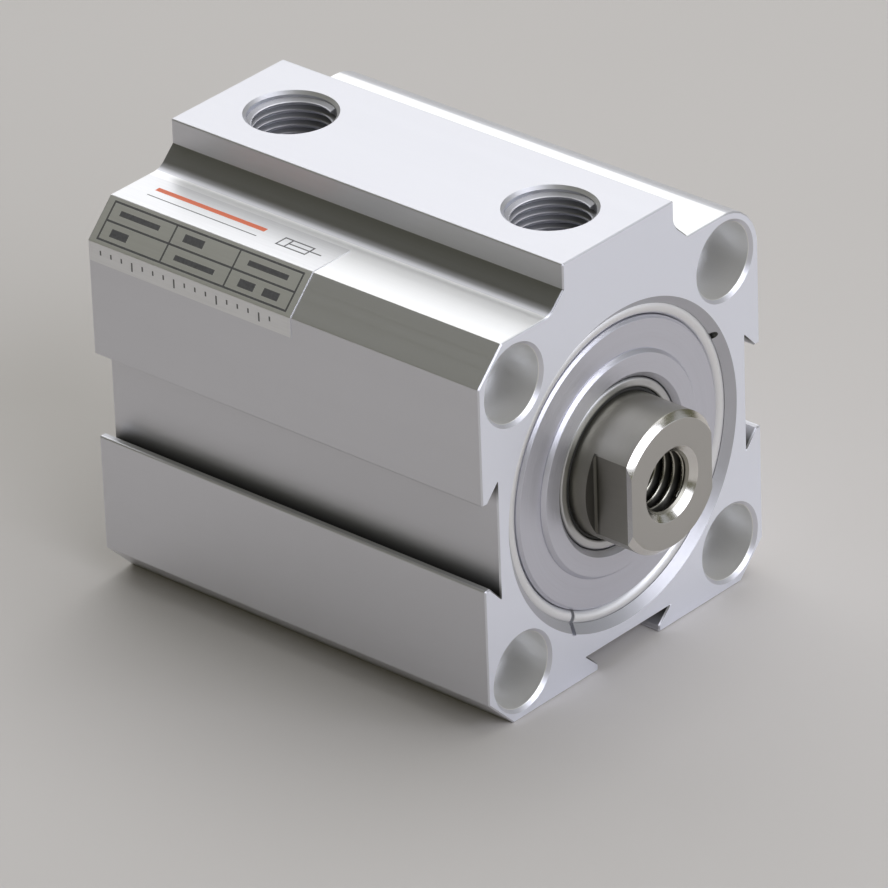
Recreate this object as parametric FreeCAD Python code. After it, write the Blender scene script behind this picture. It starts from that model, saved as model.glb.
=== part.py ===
import FreeCAD, Part
import math
import os

# Compact pneumatic cylinder, 32 mm bore and 25 mm stroke, double acting, with a magnetic piston.
# Millimetres. X is the cylinder's axis and points out of the rod end, Z is up to the port ridge.
# The origin is where the axis meets the front mounting face. The piston is drawn fully retracted.

# Working sizes
bore_diameter = 32.0
stroke = 25.0
rod_diameter = 16.0
rod_reach = 6.5

# Extruded body, whose width follows the bore and whose length follows what it holds
width_beyond_bore = 13.0
ridge_height = 5.0
ridge_width = 17.8
ridge_wall_height = 2.9
ridge_foot_width = 2.2
ridge_foot_blend = 2.4
ridge_neck_blend = 2.2
corner_chamfer = 3.8
corner_rounding = 5.6
edge_break = 0.2
end_edge_break = 0.15

# Dovetail sensor grooves on both sides and underneath
groove_mouth_width = 10.0
groove_floor_width = 13.4
groove_depth = 2.4
groove_lip = 0.8

# Mounting holes, through the length, with a counterbore at each end
hole_edge_distance = 5.5
hole_diameter = 5.5
counterbore_diameter = 8.6
counterbore_depth = 7.0
counterbore_chamfer = 0.4

# Air ports, G 1/8, at the thread's major diameter
port_diameter = 9.73
port_depth = 8.0
port_inset = 9.2
port_chamfer = 0.35
port_passage_diameter = 4.0
port_passage_setback = 2.45

# Bores and grooves that take the covers and their wire rings
cover_seat_step = 1.55
cover_seat_depth = 8.0
rear_seat_depth = 6.6
mouth_taper_width = 1.0
mouth_taper_depth = 0.85
ring_wire = 1.7
ring_bite = 0.4
ring_fit = 0.05
ring_gap = 0.6
pick_notch_width = 0.7
pick_notch_reach = 0.15
pick_notch_angle = 242.0
pick_hole_diameter = 0.8
pick_hole_inset = 0.8
pick_hole_angle = 29.0

# Covers
cover_fit = 0.05
cover_recess = 0.75
hub_fit = 0.05
nose_gap = 1.0
front_nose_length = 2.5
rear_nose_length = 1.1
boss_diameter = 25.4
boss_height = 0.5
boss_chamfer = 0.4
cover_edge_chamfer = 0.3
dimple_diameter = 3.0
dimple_depth = 1.2

# Static O-rings
o_ring_section = 1.8
o_ring_squeeze = 0.06
o_ring_slack = 0.4

# Rod gland, from the front inwards
wiper_seat_step = 1.6
wiper_seat_depth = 2.7
wiper_seat_chamfer = 0.6
wiper_recess = 0.45
wiper_case_wall = 0.5
wiper_case_corner = 0.45
wiper_lip_width = 0.35
wiper_lip_recess = 0.1
wiper_heel_gap = 0.35
gland_land = 0.5
gland_gap = 0.35
rod_seal_width = 2.5
rod_seal_height = 2.4
rod_seal_notch = 0.9
seal_slack = 0.05
bush_wall = 1.0
running_gap = 0.03

# Rod
rod_end_chamfer = 0.7
flat_depth = 1.5
flats_length = 5.0
rod_thread_diameter = 8.0
rod_thread_depth = 13.0
rod_thread_countersink = 0.25
drill_point_angle = 118.0
spigot_diameter = 10.0
spigot_fit = 0.03

# Piston, built up from two halves round a ring magnet
piston_gap = 0.3
seal_land = 0.9
piston_seal_width = 2.4
piston_seal_height = 2.2
piston_seal_notch = 0.6
magnet_width = 2.0
magnet_height = 2.9
magnet_cover = 0.3
guide_land = 0.6
guide_ring_width = 2.1
guide_ring_thickness = 1.4
guide_ring_split = 0.8
rear_land = 0.5
ring_side_gap = 0.05
ring_groove_gap = 0.1
bolt_diameter = 5.0
bolt_length = 14.0
bolt_head_diameter = 9.2
bolt_head_height = 2.5
bolt_fit = 0.05
bolt_bore_runout = 1.0
bolt_web = 0.4
bolt_socket_width = 3.0
bolt_socket_depth = 1.6

# Rubber buffers on both faces of the piston
buffer_thickness = 0.9
buffer_width = 3.6
front_buffer_margin = 1.4
rear_buffer_margin = 2.4

# Rating label, wrapped over the shoulder, the corner chamfer and the top of the side
label_thickness = 0.1
label_length = 28.5
label_side_height = 2.3
label_rear_margin = 0.3
label_shoulder_margin = 0.6

# How close two ends of an edge must be to count as level
level_margin = 1e-6

# Everything below is worked out from the sizes above.
guide_groove_width = guide_ring_width + 2 * ring_side_gap
piston_head_length = 2 * seal_land + piston_seal_width
piston_length = piston_head_length + magnet_width + guide_land + guide_groove_width + rear_land
front_depth = cover_seat_depth + front_nose_length
rear_depth = rear_seat_depth + rear_nose_length
body_length = front_depth + rear_depth + piston_length + stroke + 2 * buffer_thickness
body_width = bore_diameter + width_beyond_bore
half_width = body_width / 2
rear_face = -body_length
ridge_top = half_width + ridge_height
bore_radius = bore_diameter / 2
rod_radius = rod_diameter / 2
hole_offset = half_width - hole_edge_distance
seat_radius = bore_radius + cover_seat_step
mouth_radius = seat_radius + mouth_taper_width
cover_radius = seat_radius - cover_fit
ring_radius = seat_radius + ring_bite - ring_wire / 2
ring_groove_section = ring_wire / 2 + ring_fit
ring_lip_setback = math.sqrt(ring_groove_section ** 2 - (seat_radius - ring_radius) ** 2)
hub_radius = ring_radius - ring_wire / 2 - hub_fit
nose_radius = bore_radius - nose_gap
wiper_seat_radius = rod_radius + wiper_seat_step
front_ring_x = -(mouth_taper_depth + ring_lip_setback)
rear_ring_x = rear_face - front_ring_x
front_seat_x = -cover_seat_depth
rear_seat_x = rear_face + rear_seat_depth
front_stop_x = -front_depth
rear_stop_x = rear_face + rear_depth
boss_face_x = -cover_recess + boss_height
piston_front_x = front_stop_x - stroke - buffer_thickness
piston_rear_x = rear_stop_x + buffer_thickness
piston_radius = bore_radius - piston_gap
seal_bore_radius = bore_radius - running_gap
magnet_outer_radius = piston_radius - magnet_cover
magnet_inner_radius = magnet_outer_radius - magnet_height
spigot_radius = spigot_diameter / 2
spigot_length = piston_length - bolt_head_height - bolt_web
magnet_front_x = piston_front_x - piston_head_length
magnet_rear_x = magnet_front_x - magnet_width

AXIS = FreeCAD.Vector(1, 0, 0)
UP = FreeCAD.Vector(0, 0, 1)


def cylinder_x(radius, x_low, x_high, y=0.0, z=0.0):
    """A round bar along X."""
    return Part.makeCylinder(radius, x_high - x_low, FreeCAD.Vector(x_low, y, z), AXIS)


def cone_x(radius_low, radius_high, x_low, x_high, y=0.0, z=0.0):
    """A tapered bar along X."""
    start = FreeCAD.Vector(x_low, y, z)
    return Part.makeCone(radius_low, radius_high, x_high - x_low, start, AXIS)


def turned(profile):
    """A solid of revolution about X. The profile is a closed list of (x, radius)."""
    corners = [FreeCAD.Vector(x, 0, radius) for x, radius in profile]
    wire = Part.makePolygon(corners + corners[:1])
    return Part.Face(wire).revolve(FreeCAD.Vector(0, 0, 0), AXIS, 360)


def ring_x(outer, inner, x_low, x_high):
    """A plain ring about the axis."""
    return turned([(x_low, inner), (x_high, inner), (x_high, outer), (x_low, outer)])


def torus_x(mean_radius, wire_radius, x):
    """A round-section ring about the axis."""
    return Part.makeTorus(mean_radius, wire_radius, FreeCAD.Vector(x, 0, 0), AXIS)


def rounded_outline(corners, x):
    """A closed wire across X through (y, z, rounding) corners, each rounded by its own radius."""
    points = [FreeCAD.Vector(x, y, z) for y, z, rounding in corners]
    edges = []
    starts = []
    ends = []
    for index, (y, z, rounding) in enumerate(corners):
        here = points[index]
        to_last = (points[index - 1] - here).normalize()
        to_next = (points[(index + 1) % len(points)] - here).normalize()
        if rounding == 0:
            starts.append(here)
            ends.append(here)
            continue
        half_turn = to_last.getAngle(to_next) / 2
        reach = rounding / math.tan(half_turn)
        middle_way = (to_last + to_next).normalize()
        centre = here + middle_way * (rounding / math.sin(half_turn))
        start = here + to_last * reach
        end = here + to_next * reach
        edges.append(Part.Arc(start, centre - middle_way * rounding, end).toShape())
        starts.append(start)
        ends.append(end)
    for index, end in enumerate(ends):
        edges.append(Part.makeLine(end, starts[(index + 1) % len(starts)]))
    return Part.Wire(Part.__sortEdges__(edges))


def extruded(wire, length):
    """A prism of the outline along X."""
    return Part.Face(wire).extrude(FreeCAD.Vector(length, 0, 0))


def groove_section():
    """A dovetail groove as (along the side, depth, rounding), from one lip to the other."""
    mouth = groove_mouth_width / 2
    floor = groove_floor_width / 2
    first_half = [(mouth, 0.0, edge_break), (mouth, groove_lip, 0), (floor, groove_depth, 0)]
    second_half = [(-along, depth, rounding) for along, depth, rounding in reversed(first_half)]
    return first_half + second_half


def body_outline():
    """The extrusion's section as (y, z, rounding), clockwise from the ridge's left top corner."""
    ridge = ridge_width / 2
    neck_z = ridge_top - ridge_wall_height
    foot = ridge + ridge_foot_width
    square = half_width
    cut = half_width - corner_chamfer
    groove = groove_section()
    corners = [(-ridge, ridge_top, edge_break), (ridge, ridge_top, edge_break)]
    corners += [(ridge, neck_z, ridge_neck_blend), (foot, square, 0)]
    corners += [(square, square, corner_rounding)]
    corners += [(square - depth, along, rounding) for along, depth, rounding in groove]
    corners += [(square, -cut, edge_break), (cut, -square, edge_break)]
    corners += [(along, depth - square, rounding) for along, depth, rounding in groove]
    corners += [(-cut, -square, edge_break), (-square, -cut, edge_break)]
    corners += [(depth - square, -along, rounding) for along, depth, rounding in groove]
    corners += [(-square, cut, edge_break), (-cut, square, edge_break)]
    corners += [(-foot, square, ridge_foot_blend), (-ridge, neck_z, edge_break)]
    return corners


def end_chamfered(solid):
    """Break the outer edges of both ends of the extrusion."""
    rim = []
    for edge in solid.Edges:
        xs = [vertex.X for vertex in edge.Vertexes]
        across = max(xs) - min(xs) < level_margin
        at_end = min(abs(xs[0]), abs(xs[0] - rear_face)) < level_margin
        if across and at_end:
            rim.append(edge)
    return solid.makeChamfer(end_edge_break, rim)


def mounting_hole(y, z):
    """One through hole with its two counterbores and their chamfers."""
    radius = counterbore_diameter / 2
    rim = radius + counterbore_chamfer
    cut = cylinder_x(hole_diameter / 2, rear_face, 0, y, z)
    cut = cut.fuse(cylinder_x(radius, -counterbore_depth, 0, y, z))
    cut = cut.fuse(cylinder_x(radius, rear_face, rear_face + counterbore_depth, y, z))
    cut = cut.fuse(cone_x(radius, rim, -counterbore_chamfer, 0, y, z))
    return cut.fuse(cone_x(rim, radius, rear_face, rear_face + counterbore_chamfer, y, z))


def air_port(x, passage_x):
    """A port from the ridge's top, with the drilled passage from its floor into the bore."""
    radius = port_diameter / 2
    floor_z = ridge_top - port_depth
    cut = Part.makeCylinder(radius, port_depth, FreeCAD.Vector(x, 0, floor_z), UP)
    rim_start = FreeCAD.Vector(x, 0, ridge_top - port_chamfer)
    cut = cut.fuse(Part.makeCone(radius, radius + port_chamfer, port_chamfer, rim_start, UP))
    passage_z = nose_radius
    passage_length = floor_z - passage_z
    passage_start = FreeCAD.Vector(passage_x, 0, passage_z)
    passage = Part.makeCylinder(port_passage_diameter / 2, passage_length, passage_start, UP)
    return cut.fuse(passage)


def body_cavity():
    """The bore, the cover seats, the tapered mouths and the grooves of the wire rings."""
    rear_taper_x = rear_face + mouth_taper_depth
    profile = [
        (rear_face, 0.0), (rear_face, mouth_radius), (rear_taper_x, seat_radius),
        (rear_seat_x, seat_radius), (rear_seat_x, bore_radius), (front_seat_x, bore_radius),
        (front_seat_x, seat_radius), (-mouth_taper_depth, seat_radius), (0.0, mouth_radius),
        (0.0, 0.0),
    ]
    cavity = turned(profile)
    for x in (front_ring_x, rear_ring_x):
        cavity = cavity.fuse(torus_x(ring_radius, ring_groove_section, x))
    return cavity


def pick_notch(x_low, x_high):
    """A slot in a mouth that lays open the ends of the wire ring."""
    reach = mouth_radius + pick_notch_reach
    notch = Part.makeBox(x_high - x_low, reach - bore_radius, pick_notch_width)
    notch.translate(FreeCAD.Vector(x_low, bore_radius, -pick_notch_width / 2))
    notch.rotate(FreeCAD.Vector(0, 0, 0), AXIS, pick_notch_angle)
    return notch


def pick_hole(x_low, x_high):
    """A small hole in a mouth's taper that leads to the wire ring."""
    hole = cylinder_x(pick_hole_diameter / 2, x_low, x_high, mouth_radius - pick_hole_inset, 0)
    hole.rotate(FreeCAD.Vector(0, 0, 0), AXIS, pick_hole_angle)
    return hole


def barrel():
    """The extruded body with its bore, ports and mounting holes."""
    wire = rounded_outline(body_outline(), rear_face)
    solid = end_chamfered(extruded(wire, body_length))
    solid = solid.cut(body_cavity())
    for y in (-hole_offset, hole_offset):
        for z in (-hole_offset, hole_offset):
            solid = solid.cut(mounting_hole(y, z))
    for x_low, x_high in ((front_ring_x, 0.0), (rear_face, rear_ring_x)):
        solid = solid.cut(pick_notch(x_low, x_high)).cut(pick_hole(x_low, x_high))
    front_passage_x = front_seat_x - port_passage_setback
    rear_passage_x = rear_seat_x + port_passage_setback
    solid = solid.cut(air_port(-port_inset, front_passage_x))
    return solid.cut(air_port(rear_face + port_inset, rear_passage_x))


def rating_label():
    """The thin film on the shoulder, the corner chamfer and the top of the side."""
    square = half_width
    cut = half_width - corner_chamfer
    foot = ridge_width / 2 + ridge_foot_width + ridge_foot_blend / 2 + label_shoulder_margin
    side_bottom = cut - label_side_height
    outer = square + label_thickness
    half_corner_turn = math.radians(22.5)
    outer_cut = cut + label_thickness * math.tan(half_corner_turn)
    inner_points = [(-foot, square), (-cut, square), (-square, cut), (-square, side_bottom)]
    outer_points = [(-outer, side_bottom), (-outer, outer_cut), (-outer_cut, outer), (-foot, outer)]
    start = rear_face + label_rear_margin
    points = [FreeCAD.Vector(start, y, z) for y, z in inner_points + outer_points]
    wire = Part.makePolygon(points + points[:1])
    return extruded(wire, label_length)


def retaining_ring(x):
    """A round wire ring that bites into the body, with its butt gap under the pick notch."""
    ring = torus_x(ring_radius, ring_wire / 2, x)
    slot = Part.makeBox(2 * ring_wire, 2 * ring_wire, ring_gap)
    slot.translate(FreeCAD.Vector(x - ring_wire, ring_radius - ring_wire, -ring_gap / 2))
    slot.rotate(FreeCAD.Vector(0, 0, 0), AXIS, pick_notch_angle)
    return ring.cut(slot)


def o_ring_bottom():
    """Radius of the floor of the covers' O-ring grooves."""
    return seat_radius - o_ring_section + o_ring_squeeze


def front_o_ring_x():
    """Middle of the front cover's O-ring groove."""
    return (front_ring_x - ring_wire / 2 + front_seat_x) / 2


def rear_o_ring_x():
    """Middle of the rear cover's O-ring groove."""
    return (rear_ring_x + ring_wire / 2 + rear_seat_x) / 2


def cover_o_ring(x):
    """A cover's static seal, at rest in its groove."""
    section = (o_ring_section - o_ring_squeeze) / 2
    return torus_x(seat_radius - section, section, x)


def o_ring_groove(x):
    """The ring cut out of a cover for its O-ring."""
    half = (o_ring_section + o_ring_slack) / 2
    return ring_x(seat_radius + cover_fit, o_ring_bottom() - cover_fit, x - half, x + half)


def seal_groove_x():
    """Front and rear of the rod seal's groove in the front cover."""
    front = boss_face_x - wiper_seat_depth - gland_land
    return front, front - rod_seal_width


def front_cover():
    """The rod-end cover: hub inside the ring, flange in the seat, nose in the bore, and the gland."""
    shoulder_x = front_ring_x - ring_wire / 2
    boss = boss_diameter / 2
    land = rod_radius + gland_gap
    seat = wiper_seat_radius
    seat_x = boss_face_x - wiper_seat_depth
    groove_front, groove_rear = seal_groove_x()
    groove = rod_radius + rod_seal_height + seal_slack
    bush_x = groove_rear - gland_land
    bush_seat = rod_radius + bush_wall + seal_slack
    face_x = -cover_recess
    profile = [
        (boss_face_x, seat + wiper_seat_chamfer), (boss_face_x, boss - boss_chamfer),
        (boss_face_x - boss_chamfer, boss), (face_x, boss),
        (face_x, hub_radius - cover_edge_chamfer), (face_x - cover_edge_chamfer, hub_radius),
        (shoulder_x, hub_radius), (shoulder_x, cover_radius), (front_seat_x, cover_radius),
        (front_seat_x, nose_radius), (front_stop_x, nose_radius), (front_stop_x, bush_seat),
        (bush_x, bush_seat), (bush_x, land), (groove_rear, land), (groove_rear, groove),
        (groove_front, groove), (groove_front, land), (seat_x, land), (seat_x, seat),
        (boss_face_x - wiper_seat_chamfer, seat),
    ]
    return turned(profile).cut(o_ring_groove(front_o_ring_x()))


def rear_cover():
    """The blind cover, with the centre dimple of its turning."""
    shoulder_x = rear_ring_x + ring_wire / 2
    face_x = rear_face + cover_recess
    dimple = dimple_diameter / 2
    profile = [
        (face_x + dimple_depth, 0.0), (face_x, dimple), (face_x, hub_radius - cover_edge_chamfer),
        (face_x + cover_edge_chamfer, hub_radius), (shoulder_x, hub_radius),
        (shoulder_x, cover_radius), (rear_seat_x, cover_radius), (rear_seat_x, nose_radius),
        (rear_stop_x, nose_radius), (rear_stop_x, 0.0),
    ]
    return turned(profile).cut(o_ring_groove(rear_o_ring_x()))


def wiper_case_sizes():
    """Front, rear, outer radius, inner radius and mouth radius of the wiper's case."""
    front = boss_face_x - wiper_recess
    rear = boss_face_x - wiper_seat_depth
    outer = wiper_seat_radius - running_gap
    mouth = rod_radius + wiper_lip_width + 2 * running_gap
    return front, rear, outer, outer - wiper_case_wall, mouth


def wiper_case():
    """The pressed shell round the wiper, turned in at the front to just clear its lip."""
    front, rear, outer, inner, mouth = wiper_case_sizes()
    back = front - wiper_case_wall
    profile = [
        (front, mouth), (front, outer - wiper_case_corner), (front - wiper_case_corner, outer),
        (rear, outer), (rear, inner), (back, inner), (back, mouth),
    ]
    return turned(profile)


def rod_wiper():
    """The rubber scraper inside its case, with a lip that stands forward against the rod."""
    case_front, case_rear, case_outer, case_inner, mouth = wiper_case_sizes()
    front = case_front - wiper_case_wall - running_gap
    rim = case_inner - running_gap
    bore = rod_radius + running_gap
    lip_x = case_front - wiper_lip_recess
    profile = [
        (case_rear, bore + wiper_heel_gap), (case_rear, rim), (front, rim),
        (front, bore + wiper_lip_width), (lip_x, bore + wiper_lip_width), (lip_x, bore),
        (front, bore),
    ]
    return turned(profile)


def lip_seal(bore, outer, x_front, x_rear, notch):
    """A U-ring: a rubber ring with a V notch in the face that the pressure acts on."""
    middle = (bore + outer) / 2
    depth = abs(x_rear - x_front) / 2
    inward = 1 if x_front > x_rear else -1
    profile = [
        (x_front, bore), (x_front, outer), (x_rear, outer), (x_rear, middle + notch / 2),
        (x_rear + inward * depth, middle), (x_rear, middle - notch / 2), (x_rear, bore),
    ]
    return turned(profile)


def rod_seal():
    """The pressure seal round the rod, open towards the cylinder's chamber."""
    groove_front, groove_rear = seal_groove_x()
    bore = rod_radius + running_gap
    outer = rod_radius + rod_seal_height
    return lip_seal(bore, outer, groove_front - seal_slack, groove_rear + seal_slack, rod_seal_notch)


def rod_bush():
    """The plain bearing that guides the rod in the front cover."""
    groove_front, groove_rear = seal_groove_x()
    bush_x = groove_rear - gland_land
    return ring_x(rod_radius + bush_wall, rod_radius + running_gap, front_stop_x, bush_x)


def piston_rod():
    """The rod with its spanner flats, end thread bore, spigot and the bore of the piston bolt."""
    end = rod_reach
    spigot_x = piston_front_x - spigot_length
    profile = [
        (end, 0.0), (end, rod_radius - rod_end_chamfer), (end - rod_end_chamfer, rod_radius),
        (piston_front_x, rod_radius), (piston_front_x, spigot_radius), (spigot_x, spigot_radius),
        (spigot_x, 0.0),
    ]
    rod = turned(profile)
    for side in (-1, 1):
        flat = Part.makeBox(flats_length, rod_diameter, 2 * rod_diameter)
        near_y = rod_radius - flat_depth
        low_y = near_y if side > 0 else -near_y - rod_diameter
        flat.translate(FreeCAD.Vector(end - flats_length, low_y, -rod_diameter))
        rod = rod.cut(flat)
    thread = rod_thread_diameter / 2
    floor = end - rod_thread_depth
    point = thread / math.tan(math.radians(drill_point_angle / 2))
    bore = cylinder_x(thread, floor, end)
    bore = bore.fuse(cone_x(thread, thread + rod_thread_countersink, end - rod_thread_countersink, end))
    bore = bore.fuse(cone_x(0, thread, floor - point, floor))
    bolt_bore_end = piston_rear_x + bolt_length + bolt_bore_runout
    bolt_bore = cylinder_x(bolt_diameter / 2 + bolt_fit, piston_rear_x, bolt_bore_end)
    return rod.cut(bore).cut(bolt_bore)


def piston_front_half():
    """The half that carries the piston seal and, inside, the spigot's O-ring."""
    seal_front = piston_front_x - seal_land
    seal_rear = seal_front - piston_seal_width
    floor = seal_bore_radius - piston_seal_height - ring_groove_gap
    bore = spigot_radius + spigot_fit
    o_ring = spigot_radius + o_ring_section
    o_ring_front = piston_front_x - seal_land
    o_ring_rear = o_ring_front - o_ring_section - ring_groove_gap
    profile = [
        (piston_front_x, bore), (piston_front_x, piston_radius), (seal_front, piston_radius),
        (seal_front, floor), (seal_rear, floor), (seal_rear, piston_radius),
        (magnet_front_x, piston_radius), (magnet_front_x, bore), (o_ring_rear, bore),
        (o_ring_rear, o_ring), (o_ring_front, o_ring), (o_ring_front, bore),
    ]
    return turned(profile)


def piston_rear_half():
    """The half that carries the magnet on its hub and the guide ring on its rim."""
    hub = magnet_inner_radius - bolt_fit
    guide_front = magnet_rear_x - guide_land
    guide_rear = guide_front - guide_groove_width
    floor = seal_bore_radius - guide_ring_thickness - ring_groove_gap
    bore = spigot_radius + spigot_fit
    spigot_end = piston_front_x - spigot_length
    bolt = bolt_diameter / 2 + bolt_fit
    head = bolt_head_diameter / 2 + bolt_fit
    head_x = piston_rear_x + bolt_head_height
    profile = [
        (magnet_front_x, bore), (magnet_front_x, hub), (magnet_rear_x, hub),
        (magnet_rear_x, piston_radius), (guide_front, piston_radius), (guide_front, floor),
        (guide_rear, floor), (guide_rear, piston_radius), (piston_rear_x, piston_radius),
        (piston_rear_x, head), (head_x, bolt), (spigot_end, bolt), (spigot_end, bore),
    ]
    return turned(profile)


def piston_magnet():
    """The ring magnet between the halves, which the sensors in the grooves see."""
    return ring_x(magnet_outer_radius, magnet_inner_radius, magnet_rear_x, magnet_front_x)


def piston_seal():
    """The rubber seal between piston and bore."""
    front = piston_front_x - seal_land - ring_side_gap
    rear = piston_front_x - seal_land - piston_seal_width + ring_side_gap
    inner = seal_bore_radius - piston_seal_height
    return lip_seal(inner, seal_bore_radius, front, rear, piston_seal_notch)


def piston_guide_ring():
    """The split wear ring that centres the piston in the bore."""
    front = magnet_rear_x - guide_land - ring_side_gap
    rear = front - guide_ring_width
    ring = ring_x(seal_bore_radius, seal_bore_radius - guide_ring_thickness, rear, front)
    slot = Part.makeBox(2 * guide_ring_width, bore_radius, guide_ring_split)
    slot.translate(FreeCAD.Vector(rear - guide_ring_width / 2, 0, -guide_ring_split / 2))
    return ring.cut(slot)


def piston_o_ring():
    """The static seal between the piston and the rod's spigot."""
    section = (o_ring_section - o_ring_squeeze) / 2
    x = piston_front_x - seal_land - (o_ring_section + ring_groove_gap) / 2
    return torus_x(spigot_radius + section + spigot_fit, section, x)


def piston_bolt():
    """The countersunk socket screw that pulls the piston on to the rod."""
    radius = bolt_diameter / 2
    head = bolt_head_diameter / 2
    profile = [
        (piston_rear_x, 0.0), (piston_rear_x, head), (piston_rear_x + bolt_head_height, radius),
        (piston_rear_x + bolt_length, radius), (piston_rear_x + bolt_length, 0.0),
    ]
    bolt = turned(profile)
    corner_radius = bolt_socket_width / math.sqrt(3)
    corners = []
    for step in range(6):
        angle = math.radians(60 * step)
        corners.append((corner_radius * math.cos(angle), corner_radius * math.sin(angle), 0))
    socket = extruded(rounded_outline(corners, piston_rear_x), bolt_socket_depth)
    return bolt.cut(socket)


def front_buffer():
    """The rubber ring that meets the front cover at the end of the stroke."""
    outer = nose_radius - front_buffer_margin
    return ring_x(outer, outer - buffer_width, piston_front_x, piston_front_x + buffer_thickness)


def rear_buffer():
    """The rubber ring that meets the rear cover when the rod is in."""
    inner = bolt_head_diameter / 2 + rear_buffer_margin
    return ring_x(inner + buffer_width, inner, piston_rear_x - buffer_thickness, piston_rear_x)


nodes = {
    "barrel": barrel(),
    "rating_label": rating_label(),
    "front_cover": front_cover(),
    "rear_cover": rear_cover(),
    "front_retaining_ring": retaining_ring(front_ring_x),
    "rear_retaining_ring": retaining_ring(rear_ring_x),
    "front_cover_o_ring": cover_o_ring(front_o_ring_x()),
    "rear_cover_o_ring": cover_o_ring(rear_o_ring_x()),
    "wiper_case": wiper_case(),
    "rod_wiper": rod_wiper(),
    "rod_seal": rod_seal(),
    "rod_bush": rod_bush(),
    "piston_rod": piston_rod(),
    "piston_front_half": piston_front_half(),
    "piston_rear_half": piston_rear_half(),
    "piston_magnet": piston_magnet(),
    "piston_seal": piston_seal(),
    "piston_guide_ring": piston_guide_ring(),
    "piston_o_ring": piston_o_ring(),
    "piston_bolt": piston_bolt(),
    "front_buffer": front_buffer(),
    "rear_buffer": rear_buffer(),
}

os.makedirs("parts", exist_ok=True)
for name, shape in nodes.items():
    shape.exportStep("parts/" + name + ".step")
    print(name, "valid" if shape.isValid() else "NOT VALID", len(shape.Solids), round(shape.Volume, 1))
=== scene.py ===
from math import asin, cos, pi, radians, sin, tan

import bmesh
import bpy
from bpy.props import FloatProperty, FloatVectorProperty, PointerProperty
from bpy.types import Operator, Panel, PropertyGroup
from mathutils import Matrix, Vector


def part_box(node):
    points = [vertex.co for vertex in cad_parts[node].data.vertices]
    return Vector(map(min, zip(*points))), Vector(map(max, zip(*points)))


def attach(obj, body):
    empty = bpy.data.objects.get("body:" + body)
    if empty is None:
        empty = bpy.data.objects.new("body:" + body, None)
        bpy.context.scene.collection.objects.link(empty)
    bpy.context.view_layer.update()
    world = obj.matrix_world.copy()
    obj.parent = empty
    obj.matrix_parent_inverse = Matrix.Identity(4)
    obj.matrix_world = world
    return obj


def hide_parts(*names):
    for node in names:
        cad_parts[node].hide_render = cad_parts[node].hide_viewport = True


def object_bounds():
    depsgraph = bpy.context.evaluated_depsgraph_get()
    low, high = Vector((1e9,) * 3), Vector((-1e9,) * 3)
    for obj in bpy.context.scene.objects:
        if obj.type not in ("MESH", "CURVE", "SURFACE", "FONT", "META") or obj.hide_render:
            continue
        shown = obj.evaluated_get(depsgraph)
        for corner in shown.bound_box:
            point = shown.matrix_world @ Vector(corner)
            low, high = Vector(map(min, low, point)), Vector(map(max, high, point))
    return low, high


bl_info = {
    "name": "Compact Air Cylinder",
    "version": (1, 0, 0),
    "blender": (4, 5, 0),
    "location": "View3D > Sidebar > Air Cylinder",
    "description": "Dresses a compact pneumatic cylinder and sets its studio",
    "category": "Object",
}

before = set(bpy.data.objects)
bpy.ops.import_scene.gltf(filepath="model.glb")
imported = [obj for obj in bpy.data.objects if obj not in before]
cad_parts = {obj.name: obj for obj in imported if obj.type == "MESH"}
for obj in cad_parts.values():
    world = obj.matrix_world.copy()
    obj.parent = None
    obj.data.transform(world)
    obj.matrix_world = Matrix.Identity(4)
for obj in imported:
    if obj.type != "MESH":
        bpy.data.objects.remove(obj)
CAD_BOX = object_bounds()

MM = 0.001

# Boxes of the main pieces at rest, which give most of the places below
BARREL_LOW, BARREL_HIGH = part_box("barrel")
COVER_LOW, COVER_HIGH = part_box("front_cover")
REAR_COVER_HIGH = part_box("rear_cover")[1]
ROD_LOW, ROD_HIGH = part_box("piston_rod")
RING_LOW, RING_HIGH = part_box("front_retaining_ring")
LABEL_LOW, LABEL_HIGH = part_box("rating_label")
CASE_LOW, CASE_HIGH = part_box("wiper_case")
WIPER_LOW, WIPER_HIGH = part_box("rod_wiper")

# Extruded body
FRONT = BARREL_HIGH.x
REAR = BARREL_LOW.x
HALF_WIDTH = BARREL_HIGH.y
RIDGE_TOP = BARREL_HIGH.z
RIDGE_HALF = 8.9 * MM
RIDGE_WALL = 2.9 * MM
RIDGE_FOOT = 2.2 * MM
FOOT_BLEND = 2.4 * MM
NECK_BLEND = 2.2 * MM
CORNER_CHAMFER = 3.8 * MM
CORNER_ROUNDING = 5.6 * MM
EDGE_BREAK = 0.2 * MM
END_BREAK = 0.15 * MM
GROOVE_MOUTH = 5.0 * MM
GROOVE_FLOOR = 6.7 * MM
GROOVE_DEPTH = 2.4 * MM
GROOVE_LIP = 0.8 * MM

# Holes and seats of the body
REACH = 1.0 * MM
HOLE_SQUARE = 17.0 * MM
HOLE_RADIUS = 2.75 * MM
SINK_RADIUS = 4.3 * MM
SINK_DEPTH = 7.0 * MM
SINK_CHAMFER = 0.4 * MM
BORE_RADIUS = 16.0 * MM
SEAT_RADIUS = 17.55 * MM
FRONT_SEAT_DEPTH = 8.0 * MM
REAR_SEAT_DEPTH = 6.6 * MM
MOUTH_RADIUS = 18.55 * MM
MOUTH_DEPTH = 0.85 * MM
NOTCH_WIDTH = 0.7 * MM
NOTCH_REACH = 0.15 * MM
NOTCH_ANGLE = radians(242)
PICK_RADIUS = 0.40 * MM
PICK_LINE = 17.75 * MM
PICK_ANGLE = radians(29)
PORT_RADIUS = 4.865 * MM
PORT_DEPTH = 8.0 * MM
PORT_INSET = 9.2 * MM
PORT_CHAMFER = 0.35 * MM
PORT_THREAD_HEIGHT = 0.56 * MM
PASSAGE_RADIUS = 2.0 * MM
FRONT_PASSAGE_X = FRONT - 10.45 * MM
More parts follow.
